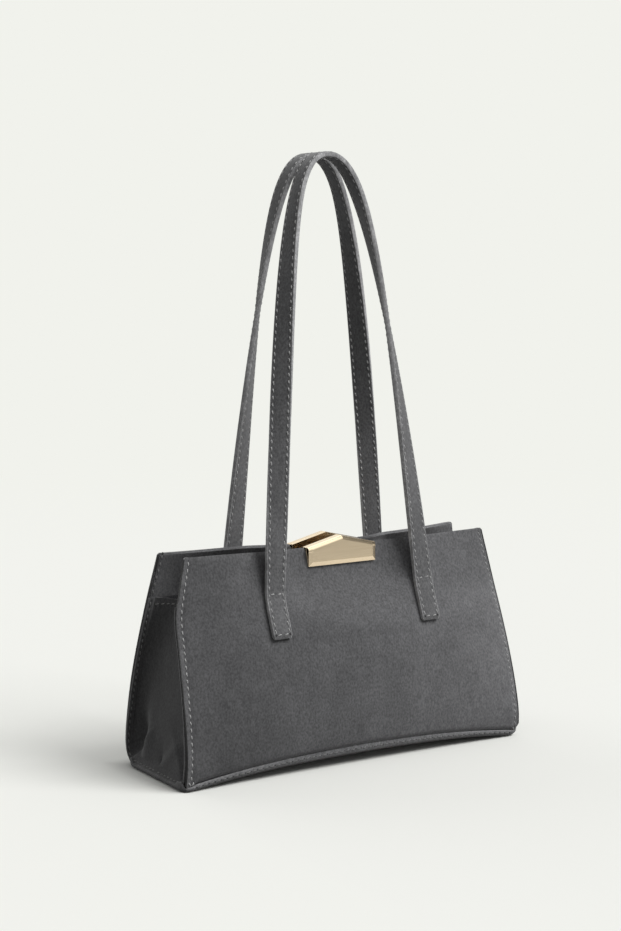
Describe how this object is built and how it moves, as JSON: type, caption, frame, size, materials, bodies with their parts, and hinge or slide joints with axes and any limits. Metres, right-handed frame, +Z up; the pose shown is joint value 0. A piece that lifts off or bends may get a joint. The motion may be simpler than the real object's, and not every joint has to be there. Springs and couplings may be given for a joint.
{
  "type": "baguette bag",
  "caption": "Soft suede shoulder bag with an arched base, folded gussets, twin twisted straps and a two-part magnetic house-shaped clasp on the top edge.",
  "frame": {"origin": "on the floor under the middle of the bag", "axes": "+X along the bag to the right seen from the front, -Y out of the front, +Z up"},
  "size_m": [0.274, 0.0952, 0.4164],
  "materials": {
    "suede": "brushed nap",
    "gusset_suede": "brushed nap, softer and darker",
    "strap_suede": "brushed nap with painted edges",
    "lining": "plain woven twill",
    "stiffener": "bonded leather board",
    "base_board": "fibre board",
    "clasp_gold": "polished champagne gold plate",
    "magnet": "sintered, nickel plated"
  },
  "bodies": {
    "base": {"base_panel": "suede", "base_board": "base_board", "base_lining": "lining", "left_gusset": "gusset_suede", "right_gusset": "gusset_suede", "left_gusset_lining": "lining", "right_gusset_lining": "lining"},
    "front": {"front_panel": "suede", "front_stiffener": "stiffener", "front_lining": "lining", "front_strap_left_end": "strap_suede", "front_strap_right_end": "strap_suede"},
    "front_neck": {"front_neck": "suede", "front_facing": "suede", "front_clasp_cap": "clasp_gold", "front_clasp_plate": "clasp_gold", "front_clasp_magnet": "magnet", "front_clasp_screws": "clasp_gold"},
    "front_strap": {"front_strap_outer": "strap_suede", "front_strap_backing": "strap_suede"},
    "back": {"back_panel": "suede", "back_stiffener": "stiffener", "back_lining": "lining", "back_strap_left_end": "strap_suede", "back_strap_right_end": "strap_suede", "slip_pocket": "lining"},
    "back_neck": {"back_neck": "suede", "back_facing": "suede", "back_clasp_cap": "clasp_gold", "back_clasp_plate": "clasp_gold", "back_clasp_magnet": "magnet", "back_clasp_screws": "clasp_gold"},
    "back_strap": {"back_strap_outer": "strap_suede", "back_strap_backing": "strap_suede"}
  },
  "joints": [
    {"name": "front_open", "type": "hinge", "parent": "base", "child": "front", "pos_m": [0, -0.0417, 0.01], "axis": [1, 0, 0], "range_deg": [0, 10], "deforming": ["left_gusset", "right_gusset", "left_gusset_lining", "right_gusset_lining"]},
    {"name": "front_neck_close", "type": "slide", "parent": "front", "child": "front_neck", "axis": [0, 1, 0], "range_m": [0, 0.0065], "stiffness_N_per_m": 80},
    {"name": "front_strap_swing", "type": "hinge", "parent": "front", "child": "front_strap", "pos_m": [0, -0.0315, 0.12195], "axis": [1, 0, 0], "range_deg": [0, 115]},
    {"name": "back_open", "type": "hinge", "parent": "base", "child": "back", "pos_m": [0, 0.0417, 0.01], "axis": [-1, 0, 0], "range_deg": [0, 10], "deforming": ["left_gusset", "right_gusset", "left_gusset_lining", "right_gusset_lining"]},
    {"name": "back_neck_close", "type": "slide", "parent": "back", "child": "back_neck", "axis": [0, -1, 0], "range_m": [0, 0.0065], "stiffness_N_per_m": 80},
    {"name": "back_strap_swing", "type": "hinge", "parent": "back", "child": "back_strap", "pos_m": [0, 0.0315, 0.12195], "axis": [-1, 0, 0], "range_deg": [0, 115]}
  ],
  "couplings": [
    {"joint": "back_neck_close", "follows": "front_neck_close", "ratio": 1}
  ]
}
